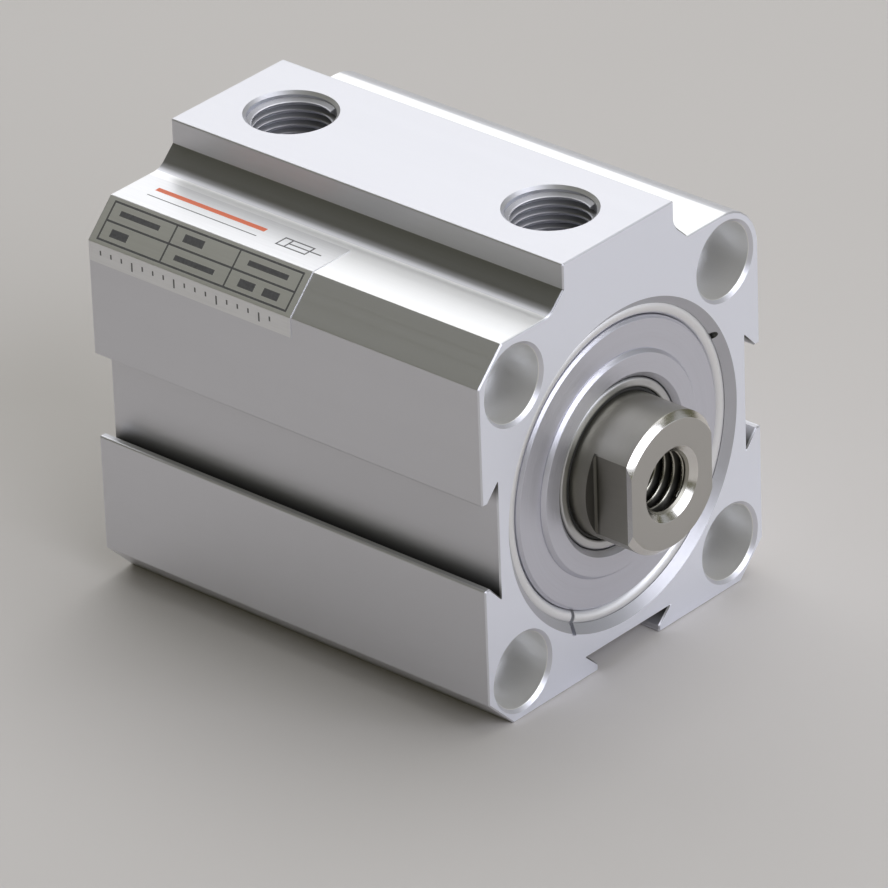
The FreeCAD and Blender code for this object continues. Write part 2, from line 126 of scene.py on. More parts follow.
REAR_PASSAGE_X = REAR + 9.05 * MM

# Wire rings, from their own boxes
WIRE_RADIUS = (RING_HIGH.x - RING_LOW.x) / 2
WIRE_CLEARANCE = 0.05 * MM
RING_X = (RING_HIGH.x + RING_LOW.x) / 2
RING_RADIUS = RING_HIGH.y - WIRE_RADIUS
RING_GAP_WIDTH = 0.6 * MM

# Rod
ROD_RADIUS = 8.0 * MM
ROD_CHAMFER = 0.7 * MM
FLATS_HALF = 6.5 * MM
FLATS_LENGTH = 5.0 * MM
FLATS_ROUNDING = 0.3 * MM
THREAD_RADIUS = 4.0 * MM
THREAD_DEPTH = 13.0 * MM
COUNTERSINK = 0.25 * MM
THREAD_LEAD = 0.95 * MM
THREAD_CREST = 3.33 * MM
DRILL_POINT = 2.4 * MM
SPIGOT_RADIUS = 5.0 * MM
SPIGOT_LENGTH = 6.6 * MM
SPIGOT_BORE_RADIUS = 2.55 * MM
SPIGOT_BORE_DEPTH = 12.1 * MM

# Covers, with the seats inside the front one
TURNED_EDGE = 0.08 * MM
HUB_RADIUS = 16.2 * MM
HUB_CHAMFER = 0.3 * MM
FLANGE_RADIUS = SEAT_RADIUS - 0.05 * MM
CUP_RADIUS = BORE_RADIUS - 1.0 * MM
COVER_FACE_X = FRONT - 0.75 * MM
REAR_FACE_X = REAR + 0.75 * MM
BOSS_RADIUS = 12.7 * MM
BOSS_CHAMFER = 0.4 * MM
WIPER_SEAT_RADIUS = 9.6 * MM
WIPER_SEAT_CHAMFER = 0.6 * MM
LAND_RADIUS = ROD_RADIUS + 0.35 * MM
LAND_LENGTH = 0.5 * MM
SEAL_SEAT_RADIUS = ROD_RADIUS + 2.45 * MM
SEAL_SEAT_LENGTH = 2.5 * MM
BUSH_SEAT_RADIUS = ROD_RADIUS + 1.05 * MM
O_RING_GROOVE_HALF = 1.1 * MM
O_RING_GROOVE_FLOOR = 15.76 * MM
DIMPLE_RADIUS = 1.5 * MM
DIMPLE_DEPTH = 1.2 * MM

# Wiper and its case
FIT = 0.03 * MM
CASE_WALL = 0.5 * MM
CASE_MOUTH = ROD_RADIUS + 0.41 * MM
CASE_LIP_ROUNDING = 0.12 * MM
CASE_RIM_ROUNDING = 0.45 * MM
LIP_THICKNESS = 0.35 * MM
LIP_TIP_ROUNDING = 0.05 * MM
LIP_BACK_ROUNDING = 0.1 * MM

# Thread ridges: half their width at the wall and at the crest, as shares of the pitch
ROOT_SHARE = 0.44
CREST_SHARE = 0.07

# Label film. Its print is placed in millimetres along the film and round the corner.
LABEL_THICKNESS = 0.1 * MM
RULE = 0.22
TABLE_LEFT = 0.8
TABLE_RIGHT = 27.7
TABLE_ROWS = (6.2, 8.5, 10.8)
TABLE_COLUMNS = (9.7, 18.7)
STRIPE = (3.0, 18.5, 1.7, 2.4)
SCALE_STEP = 1.5
SCALE_END = 27.0
SCALE_TOP = 11.9

# How finely round things are drawn
FINE = 256
SMOOTH_ANGLE = radians(28)
MERGE = 1e-7
MITRE_LIMIT = 0.3

# Colours that no setting gives
# A painted light colour for the shoulder faces beside the ridge
PAINTED_SHOULDER_LIGHT = (0.97, 0.97, 0.98)
# A painted light colour for the walls of the mounting holes
PAINTED_HOLE_LIGHT = (0.97, 0.96, 0.90)
# Olive tint of the painted shade on the body
PAINTED_SHADE_TINT = (1.0, 0.98, 0.8)
# Painted shade on the rolled edges of the wiper's case
PAINTED_EDGE_SHADE = (0.03, 0.03, 0.025)
BRONZE = (0.50, 0.33, 0.16)
BRONZE_PORES = (0.22, 0.14, 0.07)
POLYURETHANE = (0.30, 0.19, 0.07)
MAGNET = (0.06, 0.06, 0.065)
ACETAL = (0.74, 0.71, 0.60)
BLACKENED = (0.10, 0.10, 0.105)

# Studio
AIM = Vector((-22.89, -2.62, -4.04)) * MM
FLOOR_COLOURS = (0.555, 0.53, 0.51), (0.595, 0.57, 0.55)
SURROUND = (1.0, 0.97, 0.45, 1.0)
SURROUND_STRENGTH = 0.09

# Name, direction from the object, distance, size across, size up, power, colour
LIGHTS = (
    ("back_card", (-0.56, 0.48, 0.68), 1.6, 2.0, 1.6, 14.0, (0.95, 0.96, 1.0)),
    ("overhead", (0.10, 0.35, 0.93), 1.8, 1.6, 1.6, 12.5, (0.95, 0.96, 1.0)),
    ("window", (0.80, -0.08, 0.58), 1.3, 1.5, 0.7, 11.0, (0.88, 0.90, 1.0)),
    ("right_card", (0.65, 0.72, 0.25), 1.6, 1.6, 0.8, 1.5, (0.80, 0.84, 1.0)),
    ("low_card", (0.80, 0.58, 0.10), 1.4, 0.5, 0.35, 0.8, (0.88, 0.90, 1.0)),
)


# Settings


def setting(name, description, default, unit="LENGTH", **limits):
    """A number that a user may change."""
    return FloatProperty(name=name, description=description, default=default, unit=unit, **limits)


def colour_setting(name, description, default):
    """A colour that a user may change."""
    return FloatVectorProperty(
        name=name, description=description, default=default, subtype="COLOR", min=0.0, max=1.0)


class BodySettings(PropertyGroup):
    """Sizes of the extruded body that its mates don't fix."""

    ridge_half_width: setting("Ridge half width", "From the middle to the ridge's wall", RIDGE_HALF)
    corner_chamfer: setting("Corner chamfer", "Legs of the three chamfered corners", CORNER_CHAMFER)
    corner_rounding: setting("Corner rounding", "Radius of the rounded upper corner", CORNER_ROUNDING)
    groove_depth: setting("Groove depth", "Depth of the dovetail sensor grooves", GROOVE_DEPTH)
    edge_break: setting("Edge break", "Rounding of the extrusion's outer corners", EDGE_BREAK)


class ThreadSettings(PropertyGroup):
    """Pitches and depths of the two kinds of thread."""

    port_pitch: setting("Port pitch", "Pitch of the G 1/8 port threads", 0.907 * MM)
    port_depth: setting("Port thread depth", "Height of the port's thread ridges", PORT_THREAD_HEIGHT)
    rod_pitch: setting("Rod pitch", "Pitch of the M8 thread in the rod's end", 1.25 * MM)
    rod_depth: setting("Rod thread depth", "Height of the rod thread's ridges", 0.66 * MM)


class FinishSettings(PropertyGroup):
    """Colours and gloss of the finishes."""

    aluminium: colour_setting("Aluminium", "Satin anodised extrusion", (0.72, 0.72, 0.765))
    milled: colour_setting("Milled ends", "Sawn and milled ends of the extrusion", (0.90, 0.92, 1.0))
    turned: colour_setting("Turned aluminium", "Covers and piston halves", (0.65, 0.65, 0.71))
    steel: colour_setting("Rod steel", "Ground and polished rod", (0.36, 0.347, 0.30))
    rod_end: colour_setting("Rod end", "Turned face of the rod's end", (0.51, 0.497, 0.475))
    wire: colour_setting("Ring steel", "Drawn wire of the retaining rings", (0.96, 0.96, 0.98))
    rubber: colour_setting("Rubber", "Seals and wiper", (0.018, 0.018, 0.017))
    label: colour_setting("Label film", "Metallised label stock", (0.83, 0.83, 0.85))
    ink: colour_setting("Label ink", "Dark print on the label", (0.05, 0.05, 0.055))
    accent: colour_setting("Label accent", "Warm stripe on the label", (0.72, 0.16, 0.07))
    satin: setting("Satin roughness", "Roughness of the anodised faces", 0.40, "NONE", min=0.05, max=1.0)


class StudioSettings(PropertyGroup):
    """The camera and the floor."""

    azimuth: setting("Azimuth", "Angle of the camera round the object", radians(42.05), "ROTATION")
    elevation: setting("Elevation", "Height angle of the camera", radians(29.06), "ROTATION")
    roll: setting("Roll", "Tilt of the picture about the view", radians(-2.13), "ROTATION")
    distance: setting("Distance", "From the camera to the aimed point", 0.885)
    floor_size: setting("Floor size", "Side of the square floor", 6.0)
    lens: setting("Lens", "Focal length in millimetres on a 36 mm sensor", 338.0, "NONE", min=10.0)


# Node trees as expressions


def operation(kind):
    """A Field method that applies one kind of Math node."""
    def method(self, *others):
        return self.maths(kind, *others)
    return method


class Field:
    """A node's value that can be used in a Python expression."""

    def __init__(self, nodes, socket):
        self.nodes = nodes
        self.socket = socket

    def maths(self, kind, *others):
        values = dict(enumerate((self, *others)))
        return self.nodes.node("ShaderNodeMath", {"operation": kind}, values)

    __add__ = operation("ADD")
    __mul__ = operation("MULTIPLY")
    __sub__ = operation("SUBTRACT")
    __truediv__ = operation("DIVIDE")
    __gt__ = operation("GREATER_THAN")
    __lt__ = operation("LESS_THAN")
    __abs__ = operation("ABSOLUTE")
    sqrt = operation("SQRT")
    fraction = operation("FRACT")
    angle_to = operation("ARCTAN2")

    def __rsub__(self, other):
        return self.maths("MULTIPLY_ADD", -1.0, other)

    def clamped(self):
        return self.maths("MAXIMUM", 0.0).maths("MINIMUM", 1.0)

    def within(self, low, high):
        """One between two values and nothing outside."""
        return (self > low) * (self < high)

    def swing(self, amount):
        """A noise about zero, made this large."""
        return (self - 0.5) * amount

    def smooth_step(self, low, high):
        settings = {"interpolation_type": "SMOOTHSTEP"}
        values = {"Value": self, "From Min": low, "From Max": high}
        return self.nodes.node("ShaderNodeMapRange", settings, values, "Result")


def span(a, b):
    """The length of the line whose legs are a and b."""
    return (a * a + b * b).sqrt()


class Nodes:
    """A node tree that is built up from expressions."""

    def __init__(self, tree):
        self.tree = tree

    def node(self, kind, settings=None, values=None, output=0):
        """Adds a node and returns one of its outputs."""
        made = self.tree.nodes.new(kind)
        for key, value in (settings or {}).items():
            setattr(made, key, value)
        for key, value in (values or {}).items():
            self.feed(made.inputs[key], value)
        return Field(self, made.outputs[output])

    def feed(self, socket, value):
        """Links or sets one socket."""
        if isinstance(value, Field):
            self.tree.links.new(value.socket, socket)
        else:
            socket.default_value = value

    def join(self, x, y, z=0.0):
        """A vector of three numbers."""
        return self.node("ShaderNodeCombineXYZ", {}, {0: x, 1: y, 2: z})

    def split(self, vector):
        first = self.node("ShaderNodeSeparateXYZ", {}, {0: vector})
        return [Field(self, output) for output in first.socket.node.outputs]


class Finish(Nodes):
    """A material built up from expressions over a place in millimetres."""

    # Sockets of a Mix node that is set to colours
    FIRST_COLOUR = 6
    SECOND_COLOUR = 7
    MIXED_COLOUR = 2

    def __init__(self, name):
        self.material = bpy.data.materials.new(name)
        self.material.use_nodes = True
        super().__init__(self.material.node_tree)
        self.place = [field * 1000.0 for field in self.coordinates("Object")]

    def coordinates(self, kind):
        return self.split(self.node("ShaderNodeTexCoord", {}, {}, kind))

    def normal(self):
        """The true surface normal in the object's own space."""
        world = self.node("ShaderNodeNewGeometry", {}, {}, "True Normal")
        spaces = {"vector_type": "NORMAL", "convert_from": "WORLD", "convert_to": "OBJECT"}
        return self.split(self.node("ShaderNodeVectorTransform", spaces, {0: world}))

    def noise(self, x, y, z, detail=2.0, scale=1.0):
        """Noise over a place, which may be stretched."""
        values = {"Vector": self.join(x, y, z), "Scale": scale, "Detail": detail}
        return self.node("ShaderNodeTexNoise", {}, values, "Fac")

    def grain(self, scale, detail=2.0):
        """Noise that is the same in every direction."""
        return self.noise(*self.place, detail, scale)

    def blend(self, share, first, second):
        values = {0: share}
        for socket, colour in ((self.FIRST_COLOUR, first), (self.SECOND_COLOUR, second)):
            values[socket] = colour if isinstance(colour, Field) else (*colour, 1.0)
        return self.node("ShaderNodeMix", {"data_type": "RGBA"}, values, self.MIXED_COLOUR)

    def toned(self, tone, colour, dark, light):
        """A colour that gets darker and lighter with a tone about zero."""
        return self.blend((tone + 0.5).clamped(), shade(colour, dark), shade(colour, light))

    def coat(self, colour, roughness, metallic=0.0, height=0.0, strength=0.0, distance=MM):
        """Sets the surface shader and returns the material."""
        relief = {"Height": height, "Strength": strength, "Distance": distance}
        bump = self.node("ShaderNodeBump", {}, relief)
        surface = self.tree.nodes["Principled BSDF"]
        values = {"Base Color": colour, "Roughness": roughness, "Metallic": metallic, "Normal": bump}
        for key, value in values.items():
            self.feed(surface.inputs[key], value)
        return self.material


def shade(colour, factor):
    """A colour made lighter or darker."""
    return tuple(min(1.0, channel * factor) for channel in colour)


# Finishes


def extruded_aluminium(finish):
    """Satin anodised extrusion: fine draw lines along the sides, a blasted grain, milled ends."""
    made = Finish("satin_anodised_extrusion")
    x, y, z = made.place
    end_face = abs(made.normal()[0]).smooth_step(0.85, 0.95)
    side = 1 - end_face
    lines = made.noise(x * 0.012, y * 3.0, z * 3.0, 3.0)
    streaks = made.noise(x * 0.004, y * 0.7, z * 0.7)
    mill = made.noise(x, y * 0.35, z * 5.0)
    grain = made.grain(7.0)
    tone = (lines.swing(0.05) + streaks.swing(0.06)) * side + made.grain(0.09).swing(0.05)
    metal = made.toned(tone, finish.aluminium, 0.80, 1.18)
    metal = made.blend(end_face, metal, finish.milled)
    # Painted light: the shoulder faces beside the ridge made brighter
    metal = made.blend(painted_shoulder_light(y, z) * side, metal, PAINTED_SHOULDER_LIGHT)
    # Painted light on the walls of the mounting holes
    metal = made.blend(painted_hole_wall_light(y, z) * side * 0.7, metal, PAINTED_HOLE_LIGHT)
    # Share of painted shade: groove corners, slopes beside the ridge, bore tapers and pick holes
    film = (painted_groove_corner_shade(y, z) * 0.95 + painted_ridge_slope_shade(y, z) * 0.62 + painted_taper_shade(x, y, z) * 0.28) * side
    film = film + painted_pick_hole_shade(y, z) * 0.95
    painted_shade_colour = [value * tint for value, tint in zip(shade(finish.aluminium, 0.10), PAINTED_SHADE_TINT)]
    metal = made.blend(film.clamped(), metal, painted_shade_colour)
    gloss = grain.swing(0.10) + lines.swing(0.12) * side + mill.swing(0.08) * end_face
    height = grain * 0.5 + lines * side * 0.9 + mill * end_face * 0.35
    return made.coat(metal, gloss + finish.satin, 0.75, height, 0.35, 0.00002)


def painted_shoulder_light(y, z):
    """Painted light on the flat shoulder faces beside the ridge."""
    level = HALF_WIDTH / MM
    return z.within(level - 0.05, level + 0.05) * (abs(y) > RIDGE_HALF / MM + 1.0)


def painted_hole_wall_light(y, z):
    """Painted light on the walls of the four mounting holes."""
    square = HOLE_SQUARE / MM
    return span(abs(y) - square, abs(z) - square) < SINK_RADIUS / MM + 0.05


def painted_taper_shade(x, y, z):
    """Painted shade on the taper at each mouth of the bore."""
    near_end = (x > (FRONT - MOUTH_DEPTH) / MM - 0.1) + (x < (REAR + MOUTH_DEPTH) / MM + 0.1)
    return near_end * span(y, z).within(SEAT_RADIUS / MM - 0.1, MOUTH_RADIUS / MM + 0.02)


def painted_pick_hole_shade(y, z):
    """Painted shade in the mouth of the pick hole beside each wire ring."""
    hole_y, hole_z = turned_point(PICK_LINE / MM, 0.0, PICK_ANGLE)
    return span(y - hole_y, z - hole_z) < PICK_RADIUS / MM + 0.08


def painted_groove_corner_shade(y, z):
    """Painted shade in the inner corners of the three sensor grooves, darkest at the corner."""
    half = HALF_WIDTH / MM
    floor = half - GROOVE_DEPTH / MM
    corner = GROOVE_FLOOR / MM
    total = 0.0
    for outwards, along in ((abs(y), abs(z)), (z * -1, abs(y))):
        inside = outwards.within(floor - 0.2, half - 0.3) * (along < corner + 0.2)
        total = inside * along.smooth_step(corner - 2.6, corner - 0.1) + total
    return total


def painted_ridge_slope_shade(y, z):
    """Painted shade on the slopes from the ridge's walls down to the shoulder faces."""
    ridge = RIDGE_HALF / MM
    root = HALF_WIDTH / MM
    neck = (RIDGE_TOP - RIDGE_WALL) / MM
    beside = abs(y).within(ridge - 0.1, ridge + RIDGE_FOOT / MM + 1.2)
    return beside * z.smooth_step(root + 0.02, root + 0.3) * (z < neck + 0.03)


def turned_aluminium(finish, name="turned_aluminium", roughness=0.36):
    """Face-turned aluminium: fine rings about the axis over an anodised grain."""
    made = Finish(name)
    x, y, z = made.place
    radius = span(y, z)
    rings = made.noise(radius * 6.0, x * 6.0, 0.0, 3.0)
    wide = made.noise(radius * 0.9, x * 0.9, 3.0, 1.0)
    grain = made.grain(6.0)
    tone = rings.swing(0.14) + wide.swing(0.10) + grain.swing(0.03)
    metal = made.toned(tone, finish.turned, 0.82, 1.15)
    gloss = rings.swing(0.12) + grain.swing(0.06) + roughness
    return made.coat(metal, gloss, 0.85, rings * 0.9 + grain * 0.2, 0.6, 0.00004)


def rod_steel(finish):
    """Ground rod: fine rings round the barrel, turned end face, milled flats."""
    made = Finish("ground_rod_steel")
    x, y, z = made.place
    nx, ny, nz = made.normal()
    end = ROD_HIGH.x / MM
    start = end - FLATS_LENGTH / MM
    end_face = abs(nx).smooth_step(0.9, 0.98)
    # The end chamfer and countersink, which get a painted highlight and a lower roughness
    painted_chamfer_highlight = (x > end - ROD_CHAMFER / MM + 0.02) * (1 - end_face)
    flat = abs(ny).smooth_step(0.995, 0.999) * (x > start)
    # Painted shade at the inner end of each flat, where it runs out
    painted_run_out_shade = (x > start - 0.06) * (1 - x.smooth_step(start + 0.1, start + 0.7))
    painted_run_out_shade = painted_run_out_shade * (abs(y) > FLATS_HALF / MM - 0.1)
    round_lines = made.noise(x * 9.0, y * 0.2, z * 0.2, 3.0)
    face_rings = made.noise(span(y, z) * 7.0, 0.0, 0.0, 3.0)
    milled = made.noise(x * 0.5, y, z * 7.0)
    lines = round_lines * (1 - end_face) + face_rings * end_face
    tone = lines.swing(0.20) + made.grain(0.25).swing(0.10)
    metal = made.toned(tone, finish.steel, 0.75, 1.25)
    metal = made.blend(end_face * 0.9, metal, finish.rod_end)
    # Painted highlight on the end chamfer and countersink
    metal = made.blend(painted_chamfer_highlight, metal, shade(finish.rod_end, 1.5))
    # Painted shade: the flats made darker and their inner ends nearly black
    metal = made.blend((flat * 0.3 + painted_run_out_shade * 0.75).clamped(), metal, shade(finish.steel, 0.1))
    gloss = lines.swing(0.14) + milled.swing(0.2) * flat + end_face * 0.08 - painted_chamfer_highlight * 0.14 + 0.36
    return made.coat(metal, gloss, 1.0, lines + milled * flat * 0.6, 0.2, 0.000015)


def pressed_steel():
    """The wiper's case: bright on its flat rim, with painted shade on the rolled edges."""
    made = Finish("pressed_case_steel")
    x, y, z = made.place
    radius = span(y, z)
    rings = made.noise(radius * 8.0, x, 0.0, 3.0)
    patches = made.grain(0.5)
    middle = (ROD_RADIUS + WIPER_SEAT_RADIUS) / 2 / MM + 0.2
    edge = abs(radius - middle).smooth_step(0.28, 0.5)
    metal = made.blend((rings + patches) * 0.5, (0.48, 0.48, 0.48), (0.66, 0.66, 0.66))
    # Painted shade on the rolled edges, away from the flat rim
    metal = made.blend(edge * 0.7, metal, PAINTED_EDGE_SHADE)
    return made.coat(metal, rings.swing(0.1) + 0.34, 1.0, rings + patches, 0.2, 0.00001)


def drawn_steel(name, colour, roughness):
    """Drawn or pressed steel with a soft lengthwise sheen."""
    made = Finish(name)
    x, y, z = made.place
    drawn = made.noise(span(y, z) * 5.0, x * 5.0, z.angle_to(y) * 0.8)
    grain = made.grain(5.0)
    metal = made.toned(drawn.swing(0.2) + grain.swing(0.1), colour, 0.8, 1.2)
    return made.coat(metal, drawn.swing(0.14) + roughness, 0.96, drawn + grain * 0.4, 0.25, 0.00002)


def thread_metal(name, colour, roughness, depth_below, root_shade):
    """Cut threads: crests in the plain metal colour, and painted shade in the roots where the depth below the
    crest is large.
    """
    made = Finish(name)
    x, y, z = made.place
    chatter = made.grain(3.0, 3.0)
    fine = made.noise(x * 2.0, y * 2.0, z * 9.0)
    root = depth_below(x, y, z).smooth_step(0.0, 0.18)
    metal = made.toned(chatter.swing(0.3), colour, 0.8, 1.25)
    # Painted shade in the thread roots
    metal = made.blend(root, metal, shade(colour, root_shade))
    gloss = fine.swing(0.15) + root * 0.12 + roughness
    return made.coat(metal, gloss, 1.0, fine + chatter, 0.25, 0.00002)


def below_rod_crest(x, y, z):
    """Depth under the rod thread's crest."""
    return span(y, z) - THREAD_CREST / MM


def below_port_crest(x, y, z):
    """Depth under the port threads' crest, measured from the nearer port's axis."""
    middle = (FRONT + REAR) / 2
    spacing = FRONT - PORT_INSET - middle
    across = abs(x - middle / MM) - spacing / MM
    return span(across, y) - (PORT_RADIUS - PORT_THREAD_HEIGHT) / MM


def moulded_rubber(name, colour, roughness=0.62):
    """Moulded rubber with a fine matt skin and a faint bloom."""
    made = Finish(name)
    skin = made.grain(9.0, 3.0)
    bloom = ((made.grain(0.5) - 0.4) * 0.8).clamped()
    rubber = made.blend(bloom, colour, shade(colour, 2.2))
    return made.coat(rubber, skin.swing(0.2) + roughness, 0.0, skin, 0.4, 0.00003)


def plain_plastic(name, colour, roughness):
    """Machined plastic or bonded magnet, a little cloudy."""
    made = Finish(name)
    skin = made.grain(4.0, 3.0)
    cloud = ((made.grain(0.4) - 0.3) * 0.8).clamped()
    plastic = made.blend(cloud, shade(colour, 0.85), shade(colour, 1.15))
    return made.coat(plastic, skin.swing(0.15) + roughness, 0.0, skin, 0.25, 0.00002)


def sintered_bronze():
    """The bush: porous sintered bronze."""
    made = Finish("sintered_bronze")
    pores = made.grain(6.0, 4.0).smooth_step(0.55, 0.7)
    metal = made.blend(pores, BRONZE, BRONZE_PORES)
    return made.coat(metal, pores * 0.25 + 0.42, 1.0, 1 - pores, 0.5, 0.00003)


def label_film(finish):
    """Metallised film with a ruled table, bars, a tick scale and a warm stripe."""
    made = Finish("printed_label_film")
    u, v = made.coordinates("UV")[:2]
    x, y, z = made.place
    ink = scale_mask(u, v)
    for mark in label_marks():
        ink = ink + box_mask(u, v, *mark)
    ink = ink.clamped()
    stripe = box_mask(u, v, *STRIPE)
    wear = made.grain(3.0, 3.0)
    brushed = made.noise(x * 0.2, y * 4.0, z * 4.0)
    film = made.blend(brushed, shade(finish.label, 0.94), shade(finish.label, 1.05))
    film = made.blend(ink * (wear * 0.14 + 0.86), film, finish.ink)
    film = made.blend(stripe, film, finish.accent)
    covered = (ink + stripe).clamped()
    gloss = covered * 0.16 + wear.swing(0.06) + 0.34
    return made.coat(film, gloss, 0.65 - covered * 0.65, covered, 0.15, 0.00001)


def box_mask(u, v, low_u, high_u, low_v, high_v):
    """One inside a rectangle of the film and nothing outside."""
    return u.within(low_u, high_u) * v.within(low_v, high_v)


def scale_mask(u, v):
    """A row of plain ticks along the film's lower edge, every fourth one longer."""
    inside = u.within(SCALE_STEP, SCALE_END) * (v > SCALE_TOP)
    short = ((u / SCALE_STEP).fraction() < 0.14) * (v < SCALE_TOP + 0.55)
    long = ((u / (4 * SCALE_STEP)).fraction() < 0.035) * (v < SCALE_TOP + 1.05)
    return inside * (short + long).clamped()


def outline_bars(low_u, high_u, low_v, high_v, rule):
    """The four bars of a rectangle's outline."""
    return [
        (low_u, high_u, low_v, low_v + rule), (low_u, high_u, high_v - rule, high_v),
        (low_u, low_u + rule, low_v, high_v), (high_u - rule, high_u, low_v, high_v),
    ]


def label_marks():
    """Rectangles of dark ink on the film: low u, high u, low v, high v."""
    top, middle, bottom = TABLE_ROWS
    marks = outline_bars(TABLE_LEFT, TABLE_RIGHT, top, bottom, RULE)
    marks.append((TABLE_LEFT, TABLE_RIGHT, middle - RULE / 2, middle + RULE / 2))
    marks += [(u, u + RULE, top, bottom) for u in TABLE_COLUMNS]
    marks += [(2.2, 7.8, 7.05, 7.65), (11.3, 14.1, 6.9, 7.8), (20.4, 26.0, 7.05, 7.65)]
    marks += [(2.2, 4.6, 9.2, 10.1), (11.3, 16.9, 9.35, 9.95)]
    marks += [(20.4, 22.6, 9.2, 10.1), (23.8, 26.0, 9.2, 10.1)]
    marks += outline_bars(21.2, 25.4, 1.9, 3.7, 0.2)
    marks += [(22.3, 22.5, 1.9, 3.7), (22.4, 26.9, 2.7, 2.9), (3.0, 18.5, 3.5, 3.65)]
    return marks


# Shapes


def rounded(corners, steps=8):
    """A line through (a, b) or (a, b, rounding) corners, with an arc at each rounded one."""
    points = []
    for index, (a, b, *rounding) in enumerate(corners):
        here = Vector((a, b))
        if not rounding:
            points.append(tuple(here))
            continue
        radius = rounding[0]
        beside = corners[index - 1], corners[(index + 1) % len(corners)]
        ways = [(Vector(corner[:2]) - here).normalized() for corner in beside]
        half_turn = ways[0].angle(ways[1]) / 2
        centre = here + (ways[0] + ways[1]).normalized() * (radius / sin(half_turn))
        start, end = (here + way * (radius / tan(half_turn)) - centre for way in ways)
        for step in range(steps + 1):
            points.append(tuple(centre + start.lerp(end, step / steps).normalized() * radius))
    return points


def new_object(name, data):
    """Puts a mesh, camera or light in the scene, at the origin."""
    made = bpy.data.objects.new(name, data)
    bpy.context.scene.collection.objects.link(made)
    return made


def finish_mesh(mesh):
    """Closes seams, removes loose edges, points the faces outwards and smooths the round stretches."""
    work = bmesh.new()
    work.from_mesh(mesh)
    bmesh.ops.remove_doubles(work, verts=work.verts, dist=MERGE)
    bmesh.ops.dissolve_degenerate(work, edges=work.edges, dist=MERGE)
    loose = [edge for edge in work.edges if not edge.link_faces]
    bmesh.ops.delete(work, geom=loose, context="EDGES")
    bmesh.ops.recalc_face_normals(work, faces=work.faces)
    work.to_mesh(mesh)
    work.free()
    mesh.shade_smooth()
    mesh.set_sharp_from_angle(angle=SMOOTH_ANGLE)


def solid(name, vertices, faces):
    """A closed object from points and faces."""
    mesh = bpy.data.meshes.new(name)
    mesh.from_pydata(vertices, [], faces)
    finish_mesh(mesh)
    return new_object(name, mesh)


def band(low, high, count):
    """The faces between two closed loops of points, which start at the numbers low and high."""
    after = [(index + 1) % count for index in range(count)]
    return [(low + i, low + after[i], high + after[i], high + i) for i in range(count)]


def turned(name, profile, segments=FINE, axis_y=0.0, axis_z=0.0):
    """A closed solid of revolution about a line along X. The profile is (x, radius) points."""
    vertices = []
    faces = []
    count = len(profile)
    for turn in range(segments):
        angle = 2 * pi * turn / segments
        for x, radius in profile:
            vertices.append((x, axis_y + radius * cos(angle), axis_z + radius * sin(angle)))
        faces += band(turn * count, (turn + 1) % segments * count, count)
    return solid(name, vertices, faces)


def upright(made, x, z):
    """Turns a solid made about X so that its axis is vertical at that x, with its start at z."""
    made.data.transform(Matrix.Translation((x, 0, z)) @ Matrix.Rotation(-pi / 2, 4, "Y"))
    return made


def prism(name, outline, x_low, x_high, end_break=0.0):
    """An extrusion along X of a closed (y, z) outline, with its end edges broken."""
    sections = [(x_low, outline), (x_high, outline)]
    if end_break:
        inner = inset(outline, end_break)
        whole = [(x_low + end_break, outline), (x_high - end_break, outline)]
        sections = [(x_low, inner), *whole, (x_high, inner)]
    count = len(outline)
    vertices = [(x, y, z) for x, loop in sections for y, z in loop]
    faces = []
    for start in range(0, len(vertices) - count, count):
        faces += band(start, start + count, count)
    faces.append(tuple(range(count)))
    faces.append(tuple(range(len(vertices) - count, len(vertices))))
    return solid(name, vertices, faces)


def inset(outline, distance):
    """Moves a closed clockwise outline inwards by a small distance, corner by corner."""
    points = [Vector(point) for point in outline]
    moved = []
    for index, here in enumerate(points):
        before = (here - points[index - 1]).normalized()
        after = (points[(index + 1) % len(points)] - here).normalized()
        first = Vector((before.y, -before.x))
        middle = (first + Vector((after.y, -after.x))).normalized()
        moved.append(tuple(here + middle * (distance / max(MITRE_LIMIT, middle.dot(first)))))
    return moved


def apply_modifiers(piece):
    """Makes the modified shape the piece's own mesh."""
    graph = bpy.context.evaluated_depsgraph_get()
    mesh = bpy.data.meshes.new_from_object(piece.evaluated_get(graph))
    piece.modifiers.clear()
    old = piece.data
    piece.data = mesh
    mesh.name = piece.name
    bpy.data.meshes.remove(old)
    return piece


def cut(piece, cutters):
    """Takes the cutters out of a piece and removes them."""
    for cutter in cutters:
        step = piece.modifiers.new("cut", "BOOLEAN")
        step.operation = "DIFFERENCE"
        step.solver = "EXACT"
        step.object = cutter
    finish_mesh(apply_modifiers(piece).data)
    for cutter in cutters:
        bpy.data.objects.remove(cutter)
    return piece


def weigh_normals(piece):
    """Keeps large flat faces flat where they meet small roundings."""
    step = piece.modifiers.new("flat", "WEIGHTED_NORMAL")
    step.keep_sharp = True
    step.weight = 100
    return apply_modifiers(piece)


def give(piece, material):
    """Leaves one material on a piece."""
    piece.data.materials.clear()
    piece.data.materials.append(material)


def check(piece):
    """Prints a piece's size, and stops the script if it is empty or isn't closed."""
    work = bmesh.new()
    work.from_mesh(piece.data)
    open_edges = sum(len(edge.link_faces) != 2 for edge in work.edges)
    triangles = sum(len(face.verts) - 2 for face in work.faces)
    work.free()
    print("piece", piece.name, "triangles", triangles, "unclosed edges", open_edges)
    if open_edges or not triangles:
        raise RuntimeError(piece.name + " isn't a closed solid")


def deliver(piece, material, node=None, body="cylinder"):
    """Finishes and checks a piece, hides the node it stands for and hangs the piece on the empty of what it
    moves with.
    """
    give(piece, material)
    check(piece)
    if node:
        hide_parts(node)
    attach(piece, body)


